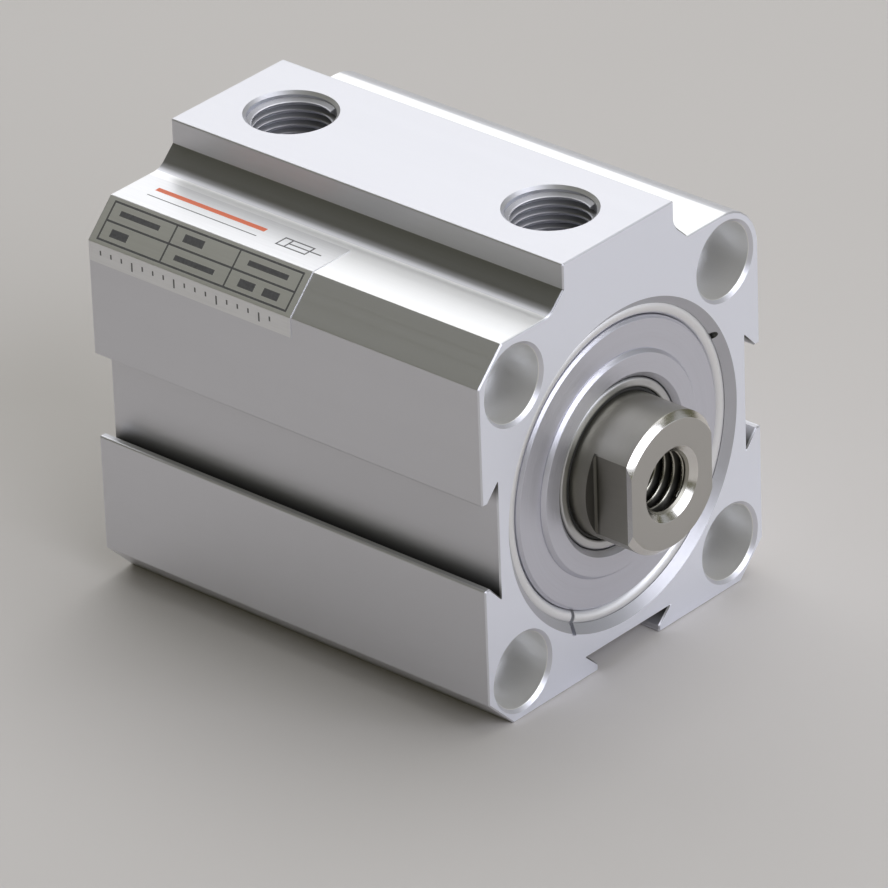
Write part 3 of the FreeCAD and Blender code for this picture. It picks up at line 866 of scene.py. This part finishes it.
def body_outline(body):
    """The extrusion's section as points of (y, z)."""
    ridge = body.ridge_half_width
    neck = RIDGE_TOP - RIDGE_WALL
    foot = ridge + RIDGE_FOOT
    side = HALF_WIDTH
    near = side - body.corner_chamfer
    soft = body.edge_break
    half = [(0.0, GROOVE_MOUTH, soft), (GROOVE_LIP, GROOVE_MOUTH), (body.groove_depth, GROOVE_FLOOR)]
    quarter = [(side - deep, along, *rounding) for deep, along, *rounding in half]
    quarter += [(y, -z, *rounding) for y, z, *rounding in reversed(quarter)]
    quarter += [(side, -near, soft), (near, -side, soft)]
    corners = [(-ridge, RIDGE_TOP, soft), (ridge, RIDGE_TOP, soft)]
    corners += [(ridge, neck, NECK_BLEND), (foot, side), (side, side, body.corner_rounding)]
    for _ in range(3):
        corners += quarter
        quarter = [(z, -y, *rounding) for y, z, *rounding in quarter]
    corners += [(-foot, side, FOOT_BLEND), (-ridge, neck, soft)]
    return rounded(corners)


def cavity_end(face, ring_x, seat_depth, inwards):
    """One end of the bore's profile: its tapered mouth, the groove of its wire, and its seat."""
    wide = MOUTH_RADIUS + REACH * (MOUTH_RADIUS - SEAT_RADIUS) / MOUTH_DEPTH
    outside = face - inwards * REACH
    seat = face + inwards * seat_depth
    radius = WIRE_RADIUS + WIRE_CLEARANCE
    start = asin((SEAT_RADIUS - RING_RADIUS) / radius)
    steps = 20
    points = [(outside, 0.0), (outside, wide)]
    for step in range(steps + 1):
        angle = start + (pi - 2 * start) * step / steps
        points.append((ring_x - inwards * radius * cos(angle), RING_RADIUS + radius * sin(angle)))
    return points + [(seat, SEAT_RADIUS), (seat, BORE_RADIUS)]


def turned_point(y, z, angle):
    """A point across the axis turned about it."""
    return y * cos(angle) - z * sin(angle), y * sin(angle) + z * cos(angle)


def mouth_cutters(x_low, x_high):
    """The pick notch and the pick hole of one mouth."""
    reach = MOUTH_RADIUS + NOTCH_REACH
    half = NOTCH_WIDTH / 2
    corners = [(BORE_RADIUS, -half), (reach, -half), (reach, half), (BORE_RADIUS, half)]
    outline = [turned_point(y, z, NOTCH_ANGLE) for y, z in corners]
    hole_y, hole_z = turned_point(PICK_LINE, 0.0, PICK_ANGLE)
    profile = rod_profile(PICK_RADIUS, x_low, x_high)
    return [prism("notch_cutter", outline, x_low, x_high), turned("pick_cutter", profile, 32, hole_y, hole_z)]


def rod_profile(radius, x_low, x_high):
    """The profile of a plain round cutter."""
    return [(x_low, 0.0), (x_low, radius), (x_high, radius), (x_high, 0.0)]


def hole_cutter(y, z):
    """A mounting hole with its counterbores and chamfers."""
    half = [
        (-REACH, 0.0), (-REACH, SINK_RADIUS + SINK_CHAMFER + REACH),
        (SINK_CHAMFER, SINK_RADIUS), (SINK_DEPTH, SINK_RADIUS), (SINK_DEPTH, HOLE_RADIUS),
    ]
    profile = [(REAR + depth, radius) for depth, radius in half]
    profile += [(FRONT - depth, radius) for depth, radius in reversed(half)]
    return turned("hole_cutter", profile, 96, y, z)


def port_cutters(x, passage_x):
    """A port hole with its mouth chamfer, and the passage below it."""
    floor = RIDGE_TOP - PORT_DEPTH
    rim = PORT_RADIUS + PORT_CHAMFER + REACH
    wide = [
        (0.0, 0.0), (0.0, PORT_RADIUS), (PORT_DEPTH - PORT_CHAMFER, PORT_RADIUS),
        (PORT_DEPTH + REACH, rim), (PORT_DEPTH + REACH, 0.0),
    ]
    inside = BORE_RADIUS - REACH
    narrow = rod_profile(PASSAGE_RADIUS, 0.0, floor - inside + REACH)
    port = upright(turned("port_cutter", wide, 128), x, floor)
    return [port, upright(turned("passage_cutter", narrow, 64), passage_x, inside)]


def make_barrel(body):
    """The extrusion with everything that is machined into it."""
    piece = prism("body_extrusion", body_outline(body), REAR, FRONT, END_BREAK)
    cavity = cavity_end(REAR, REAR - RING_X, REAR_SEAT_DEPTH, 1)
    cavity += reversed(cavity_end(FRONT, RING_X, FRONT_SEAT_DEPTH, -1))
    cutters = [turned("cavity_cutter", cavity)]
    cutters += [hole_cutter(y, z) for y in (-HOLE_SQUARE, HOLE_SQUARE) for z in (-HOLE_SQUARE, HOLE_SQUARE)]
    cutters += port_cutters(FRONT - PORT_INSET, FRONT_PASSAGE_X)
    cutters += port_cutters(REAR + PORT_INSET, REAR_PASSAGE_X)
    cutters += mouth_cutters(RING_X, FRONT + REACH)
    cutters += mouth_cutters(REAR - REACH, REAR - RING_X)
    return weigh_normals(cut(piece, cutters))


def cover_rim(face, shoulder, step, end, inwards):
    """The corners of a cover's hub, its flange with the O-ring's groove, and its cup."""
    near = (shoulder + step) / 2 - inwards * O_RING_GROOVE_HALF
    far = (shoulder + step) / 2 + inwards * O_RING_GROOVE_HALF
    return [
        (face, HUB_RADIUS - HUB_CHAMFER, TURNED_EDGE),
        (face + inwards * HUB_CHAMFER, HUB_RADIUS, TURNED_EDGE), (shoulder, HUB_RADIUS),
        (shoulder, FLANGE_RADIUS, TURNED_EDGE), (near, FLANGE_RADIUS), (near, O_RING_GROOVE_FLOOR),
        (far, O_RING_GROOVE_FLOOR), (far, FLANGE_RADIUS), (step, FLANGE_RADIUS, TURNED_EDGE),
        (step, CUP_RADIUS), (end, CUP_RADIUS, TURNED_EDGE),
    ]


def front_cover_profile():
    """The cover with its boss and the seats of wiper, seal and bush."""
    boss = COVER_HIGH.x
    end = COVER_LOW.x
    wiper_seat = CASE_LOW.x
    seal_front = wiper_seat - LAND_LENGTH
    seal_rear = seal_front - SEAL_SEAT_LENGTH
    bush = seal_rear - LAND_LENGTH
    corners = [
        (boss, WIPER_SEAT_RADIUS + WIPER_SEAT_CHAMFER, TURNED_EDGE),
        (boss, BOSS_RADIUS - BOSS_CHAMFER, TURNED_EDGE), (boss - BOSS_CHAMFER, BOSS_RADIUS, TURNED_EDGE),
        (COVER_FACE_X, BOSS_RADIUS),
    ]
    corners += cover_rim(COVER_FACE_X, RING_X - WIRE_RADIUS, FRONT - FRONT_SEAT_DEPTH, end, -1)
    corners += [
        (end, BUSH_SEAT_RADIUS), (bush, BUSH_SEAT_RADIUS), (bush, LAND_RADIUS), (seal_rear, LAND_RADIUS),
        (seal_rear, SEAL_SEAT_RADIUS), (seal_front, SEAL_SEAT_RADIUS), (seal_front, LAND_RADIUS),
        (wiper_seat, LAND_RADIUS), (wiper_seat, WIPER_SEAT_RADIUS),
        (boss - WIPER_SEAT_CHAMFER, WIPER_SEAT_RADIUS, TURNED_EDGE),
    ]
    return rounded(corners, 3)


def rear_cover_profile():
    """The blind cover with its centre dimple."""
    end = REAR_COVER_HIGH.x
    corners = [(REAR_FACE_X + DIMPLE_DEPTH, 0.0), (REAR_FACE_X, DIMPLE_RADIUS, TURNED_EDGE)]
    corners += cover_rim(REAR_FACE_X, REAR - RING_X + WIRE_RADIUS, REAR + REAR_SEAT_DEPTH, end, 1)
    return rounded([*corners, (end, 0.0)], 3)


def case_profile():
    """The wiper's case, pressed from sheet."""
    outer = WIPER_SEAT_RADIUS - FIT
    inner = outer - CASE_WALL
    front = CASE_HIGH.x
    corners = [
        (front, CASE_MOUTH, CASE_LIP_ROUNDING), (front, outer, CASE_RIM_ROUNDING), (CASE_LOW.x, outer),
        (CASE_LOW.x, inner), (front - CASE_WALL, inner), (front - CASE_WALL, CASE_MOUTH),
    ]
    return rounded(corners)


def wiper_profile():
    """The rubber wiper, with the lip that stands out of its case."""
    bore = ROD_RADIUS + FIT
    edge = bore + LIP_THICKNESS
    rim = WIPER_SEAT_RADIUS - CASE_WALL - 2 * FIT
    back = CASE_HIGH.x - CASE_WALL - FIT
    corners = [
        (WIPER_LOW.x, edge), (WIPER_LOW.x, rim), (back, rim), (back, edge),
        (WIPER_HIGH.x, edge, LIP_BACK_ROUNDING), (WIPER_HIGH.x, bore, LIP_TIP_ROUNDING), (back, bore),
    ]
    return rounded(corners, 4)


def rod_end_profile():
    """The rod with its threaded end and its spigot for the piston."""
    end = ROD_HIGH.x
    floor = end - THREAD_DEPTH
    spigot_end = ROD_LOW.x
    shoulder = spigot_end + SPIGOT_LENGTH
    bore_end = spigot_end + SPIGOT_BORE_DEPTH
    corners = [
        (floor - DRILL_POINT, 0.0), (floor, THREAD_RADIUS), (end - 1.6 * THREAD_LEAD, THREAD_RADIUS),
        (end - 1.1 * THREAD_LEAD, THREAD_CREST), (end - THREAD_LEAD, THREAD_CREST),
        (end, THREAD_RADIUS + COUNTERSINK, 0.04 * MM), (end, ROD_RADIUS - ROD_CHAMFER, 0.1 * MM),
        (end - ROD_CHAMFER, ROD_RADIUS, 0.1 * MM), (shoulder, ROD_RADIUS), (shoulder, SPIGOT_RADIUS),
        (spigot_end, SPIGOT_RADIUS), (spigot_end, SPIGOT_BORE_RADIUS), (bore_end, SPIGOT_BORE_RADIUS),
        (bore_end, 0.0),
    ]
    return rounded(corners, 4)


# Turns what was made about Z, or across it, so that it is about X
TO_X = Matrix(((0, 0, 1, 0), (1, 0, 0, 0), (0, 1, 0, 0), (0, 0, 0, 1)))


def flat_cutter(side):
    """A block with a rounded inner end, as a side mill leaves it."""
    reach = 4.0 * MM
    tall = 2.0 * ROD_RADIUS
    near = side * FLATS_HALF
    far = side * (ROD_RADIUS + reach)
    end = ROD_HIGH.x + reach
    corner = ROD_HIGH.x - FLATS_LENGTH
    outline = rounded([(corner, near, FLATS_ROUNDING), (end, near), (end, far), (corner, far)], 6)
    made = prism("flat_cutter", outline, -tall, tall)
    made.data.transform(TO_X.transposed())
    return made


def make_label():
    """The film as a thin closed sheet with a UV map in millimetres: u along, v round the corner."""
    near = HALF_WIDTH - CORNER_CHAMFER
    corners = [
        (LABEL_HIGH.y, HALF_WIDTH), (-near, HALF_WIDTH, EDGE_BREAK),
        (-HALF_WIDTH, near, EDGE_BREAK), (-HALF_WIDTH, LABEL_LOW.z),
    ]
    path = [Vector(point) for point in rounded(corners)]
    shell = []
    lengths = []
    run = 0.0
    for index, here in enumerate(path):
        before = path[max(index - 1, 0)]
        after = path[min(index + 1, len(path) - 1)]
        way = (after - before).normalized()
        run += (here - before).length
        lengths.append(run / MM)
        shell.append(here + Vector((way.y, -way.x)) * LABEL_THICKNESS)
    piece = prism("rating_label_film", path + shell[::-1], LABEL_LOW.x, LABEL_HIGH.x)
    round_corner = lengths + lengths[::-1]
    film = piece.data.uv_layers.new(name="film")
    for loop in piece.data.loops:
        u = (piece.data.vertices[loop.vertex_index].co.x - LABEL_LOW.x) / MM
        film.data[loop.index].uv = (u, round_corner[loop.vertex_index % len(round_corner)])
    return piece


# Geometry node trees for what follows a path


class Sweep(Nodes):
    """A geometry node tree with named inputs that sweeps a section along a curve."""

    def __init__(self, name, *labels):
        super().__init__(bpy.data.node_groups.new(name, "GeometryNodeTree"))
        face = self.tree.interface
        face.new_socket("Geometry", in_out="OUTPUT", socket_type="NodeSocketGeometry")
        kinds = {"Material": "Material", "Resolution": "Int", **dict.fromkeys(labels, "Float")}
        self.names = []
        for label, kind in kinds.items():
            made = face.new_socket(label, in_out="INPUT", socket_type="NodeSocket" + kind)
            self.names.append(made.identifier)
        source = self.tree.nodes.new("NodeGroupInput")
        given = [Field(self, source.outputs[label]) for label in kinds]
        self.material, self.resolution, *self.numbers = given

    def end(self, curve, section):
        """Ends the tree with the swept solid in its material."""
        path = {"Curve": curve, "Profile Curve": section, "Fill Caps": True}
        swept = self.node("GeometryNodeCurveToMesh", {}, path)
        real = self.node("GeometryNodeRealizeInstances", {}, {"Geometry": swept})
        paint = {"Geometry": real, "Material": self.material}
        painted = self.node("GeometryNodeSetMaterial", {}, paint)
        self.feed(self.tree.nodes.new("NodeGroupOutput").inputs[0], painted)
        return self


def thread_tree():
    """A helical ridge that stands inwards from the wall of a hole."""
    tree = Sweep("thread_ridge", "Wall Radius", "Pitch", "Turns", "Depth")
    wall, pitch, turns, depth = tree.numbers
    helix = tree.node("GeometryNodeCurveSpiral", {}, {
        "Resolution": tree.resolution, "Rotations": turns, "Start Radius": wall, "End Radius": wall,
        "Height": pitch * turns})
    level = tree.node("GeometryNodeSetCurveNormal", {"mode": "Z_UP"}, {"Curve": helix})
    root = pitch * ROOT_SHARE
    crest = pitch * CREST_SHARE
    corners = {
        "Point 1": tree.join(0.0, root * -1.0), "Point 2": tree.join(depth, crest * -1.0),
        "Point 3": tree.join(depth, crest), "Point 4": tree.join(0.0, root),
    }
    section = tree.node("GeometryNodeCurvePrimitiveQuadrilateral", {"mode": "POINTS"}, corners)
    return tree.end(level, section)


def wire_tree():
    """An open ring of round wire with a butt gap."""
    tree = Sweep("wire_ring", "Ring Radius", "Wire Radius", "Start Angle", "Sweep")
    ring, wire, start, sweep = tree.numbers
    arc = tree.node("GeometryNodeCurveArc", {"mode": "RADIUS"}, {
        "Resolution": tree.resolution, "Radius": ring, "Start Angle": start, "Sweep Angle": sweep})
    circle = {"Resolution": 32, "Radius": wire}
    return tree.end(arc, tree.node("GeometryNodeCurvePrimitiveCircle", {"mode": "RADIUS"}, circle))


def grown(name, tree, place, *values):
    """A plain mesh made by a node tree from the values of its inputs, in its place."""
    piece = new_object(name, bpy.data.meshes.new(name))
    step = piece.modifiers.new("tree", "NODES")
    step.node_group = tree.tree
    for identifier, value in zip(tree.names, values):
        step[identifier] = value
    apply_modifiers(piece)
    piece.data.transform(place)
    finish_mesh(piece.data)
    return piece


# Operators


class PieceOperator:
    """What the operators share."""

    bl_options = {"REGISTER"}

    def execute(self, context):
        self.make(context.scene)
        return {"FINISHED"}


class CYLINDER_OT_body(PieceOperator, Operator):
    """Makes the machined extrusion"""

    bl_idname = "cylinder.body"
    bl_label = "Body"

    def make(self, scene):
        metal = extruded_aluminium(scene.cylinder_finish)
        deliver(make_barrel(scene.cylinder_body), metal, "barrel")


class CYLINDER_OT_covers(PieceOperator, Operator):
    """Makes the turned front and rear covers"""

    bl_idname = "cylinder.covers"
    bl_label = "Covers"

    def make(self, scene):
        metal = turned_aluminium(scene.cylinder_finish)
        for node, profile in (("front_cover", front_cover_profile()), ("rear_cover", rear_cover_profile())):
            piece = weigh_normals(turned(node + "_turned", profile))
            deliver(piece, metal, node)


class CYLINDER_OT_rings(PieceOperator, Operator):
    """Makes the two wire retaining rings"""

    bl_idname = "cylinder.rings"
    bl_label = "Retaining rings"

    def make(self, scene):
        metal = drawn_steel("drawn_wire", scene.cylinder_finish.wire, 0.48)
        tree = wire_tree()
        gap = RING_GAP_WIDTH / RING_RADIUS
        arc = (NOTCH_ANGLE + gap / 2, 2 * pi - gap)
        for node, x in (("front_retaining_ring", RING_X), ("rear_retaining_ring", REAR - RING_X)):
            place = Matrix.Translation((x, 0, 0)) @ TO_X
            piece = grown(node + "_wire", tree, place, metal, FINE, RING_RADIUS, WIRE_RADIUS, *arc)
            deliver(piece, metal, node)


class CYLINDER_OT_gland(PieceOperator, Operator):
    """Makes the wiper and its metal case"""

    bl_idname = "cylinder.gland"
    bl_label = "Wiper and case"

    def make(self, scene):
        case = weigh_normals(turned("wiper_case_pressed", case_profile()))
        deliver(case, pressed_steel(), "wiper_case")
        rubber = moulded_rubber("wiper_rubber", scene.cylinder_finish.rubber)
        wiper = weigh_normals(turned("rod_wiper_moulded", wiper_profile()))
        deliver(wiper, rubber, "rod_wiper")


class CYLINDER_OT_rod(PieceOperator, Operator):
    """Makes the rod with its spanner flats and bored end"""

    bl_idname = "cylinder.rod"
    bl_label = "Rod"

    def make(self, scene):
        blank = turned("rod_ground", rod_end_profile())
        piece = weigh_normals(cut(blank, [flat_cutter(-1), flat_cutter(1)]))
        deliver(piece, rod_steel(scene.cylinder_finish), "piston_rod", "rod_and_piston")


class CYLINDER_OT_threads(PieceOperator, Operator):
    """Makes the port threads and the rod's thread"""

    bl_idname = "cylinder.threads"
    bl_label = "Threads"

    def make(self, scene):
        tree = thread_tree()
        finish = scene.cylinder_finish
        sizes = scene.cylinder_threads
        pitch = sizes.port_pitch
        turns = (PORT_DEPTH - PORT_CHAMFER) / pitch - 1.6
        metal = thread_metal("port_thread_metal", finish.aluminium, 0.42, below_port_crest, 0.6)
        ridge = (metal, 96, PORT_RADIUS, pitch, turns, sizes.port_depth)
        for name, x in (("rear_port_thread", REAR + PORT_INSET), ("front_port_thread", FRONT - PORT_INSET)):
            place = Matrix.Translation((x, 0, RIDGE_TOP - PORT_DEPTH + pitch))
            deliver(grown(name, tree, place, *ridge), metal)
        pitch = sizes.rod_pitch
        turns = (THREAD_DEPTH - COUNTERSINK) / pitch - 1.3
        metal = thread_metal("rod_thread_metal", shade(finish.steel, 1.6), 0.22, below_rod_crest, 0.08)
        ridge = (metal, 96, THREAD_RADIUS, pitch, turns, sizes.rod_depth)
        start = ROD_HIGH.x - THREAD_DEPTH + pitch * 0.5
        place = Matrix.Translation((start, 0, 0)) @ Matrix.Rotation(pi / 2, 4, "Y")
        deliver(grown("rod_end_thread", tree, place, *ridge), metal, body="rod_and_piston")


class CYLINDER_OT_label(PieceOperator, Operator):
    """Makes the printed rating label"""

    bl_idname = "cylinder.label"
    bl_label = "Rating label"

    def make(self, scene):
        film = label_film(scene.cylinder_finish)
        deliver(make_label(), film, "rating_label")


class CYLINDER_OT_inside(PieceOperator, Operator):
    """Finishes the sealed pieces inside"""

    bl_idname = "cylinder.inside"
    bl_label = "Inner pieces"

    def make(self, scene):
        finish = scene.cylinder_finish
        seals = "front_cover_o_ring rear_cover_o_ring rod_seal piston_seal piston_o_ring"
        choices = (
            (moulded_rubber("seal_rubber", finish.rubber), seals),
            (moulded_rubber("buffer_polyurethane", POLYURETHANE, 0.45), "front_buffer rear_buffer"),
            (turned_aluminium(finish, "piston_aluminium", 0.40), "piston_front_half piston_rear_half"),
            (plain_plastic("bonded_magnet", MAGNET, 0.55), "piston_magnet"),
            (plain_plastic("guide_acetal", ACETAL, 0.40), "piston_guide_ring"),
            (drawn_steel("blackened_screw", BLACKENED, 0.42), "piston_bolt"),
            (sintered_bronze(), "rod_bush"),
        )
        for material, nodes in choices:
            for node in nodes.split():
                give(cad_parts[node], material)


class CYLINDER_OT_stage(PieceOperator, Operator):
    """Sets the camera, the lights and the floor"""

    bl_idname = "cylinder.stage"
    bl_label = "Stage"

    def make(self, scene):
        set_camera(scene, scene.cylinder_studio)
        set_floor(scene.cylinder_studio)
        set_world(scene)
        for settings in LIGHTS:
            add_light(*settings)


def set_camera(scene, studio):
    """A long lens at the measured angle."""
    data = bpy.data.cameras.new("camera")
    data.lens = studio.lens
    data.sensor_width = 36.0
    data.clip_end = 20.0
    camera = new_object("camera", data)
    a, e, r = studio.azimuth, studio.elevation, studio.roll
    back = Vector((sin(a) * cos(e), -cos(a) * cos(e), sin(e)))
    level = Vector((cos(a), sin(a), 0.0))
    right = level * cos(r) + back.cross(level) * sin(r)
    turn = Matrix((right, back.cross(right), back)).transposed().to_4x4()
    camera.matrix_world = Matrix.Translation(AIM + back * studio.distance) @ turn
    scene.camera = camera


def set_floor(studio):
    """A plain pale floor under the object."""
    half = studio.floor_size / 2
    level = CAD_BOX[0][2]
    corners = [(-half, -half, level), (half, -half, level), (half, half, level), (-half, half, level)]
    mesh = bpy.data.meshes.new("floor")
    mesh.from_pydata(corners, [], [(0, 1, 2, 3)])
    floor = new_object("floor", mesh)
    made = Finish("pale_floor")
    give(floor, made.coat(made.blend(made.grain(0.01), *FLOOR_COLOURS), 0.9))


def set_world(scene):
    """A dim even surround."""
    world = bpy.data.worlds.new("studio")
    world.use_nodes = True
    background = world.node_tree.nodes["Background"]
    background.inputs["Color"].default_value = SURROUND
    background.inputs["Strength"].default_value = SURROUND_STRENGTH
    scene.world = world
    scene.view_settings.view_transform = "Standard"


def add_light(name, direction, distance, across, up, power, colour):
    """A soft rectangular light that faces the object."""
    data = bpy.data.lights.new(name, "AREA")
    data.shape = "RECTANGLE"
    data.size = across
    data.size_y = up
    data.energy = power
    data.color = colour
    light = new_object(name, data)
    away = Vector(direction).normalized()
    light.rotation_mode = "QUATERNION"
    light.rotation_quaternion = away.to_track_quat("Z", "Y")
    light.location = away * distance


class CYLINDER_PT_panel(Panel):
    """Lists the steps in the sidebar"""

    bl_label = "Air Cylinder"
    bl_idname = "CYLINDER_PT_panel"
    bl_space_type = "VIEW_3D"
    bl_region_type = "UI"
    bl_category = "Air Cylinder"

    def draw(self, context):
        for step in STEPS:
            self.layout.operator(step.bl_idname)


STEPS = (
    CYLINDER_OT_body, CYLINDER_OT_covers, CYLINDER_OT_rings, CYLINDER_OT_gland, CYLINDER_OT_rod,
    CYLINDER_OT_threads, CYLINDER_OT_label, CYLINDER_OT_inside, CYLINDER_OT_stage,
)
GROUPS = {
    "cylinder_body": BodySettings,
    "cylinder_threads": ThreadSettings,
    "cylinder_finish": FinishSettings,
    "cylinder_studio": StudioSettings,
}
CLASSES = (*GROUPS.values(), *STEPS, CYLINDER_PT_panel)


def register():
    for made in CLASSES:
        bpy.utils.register_class(made)
    for name, group in GROUPS.items():
        setattr(bpy.types.Scene, name, PointerProperty(type=group))


def unregister():
    for name in GROUPS:
        delattr(bpy.types.Scene, name)
    for made in reversed(CLASSES):
        bpy.utils.unregister_class(made)


def main():
    register()
    for step in STEPS:
        group, name = step.bl_idname.split(".")
        getattr(getattr(bpy.ops, group), name)()


if __name__ == "__main__":
    main()
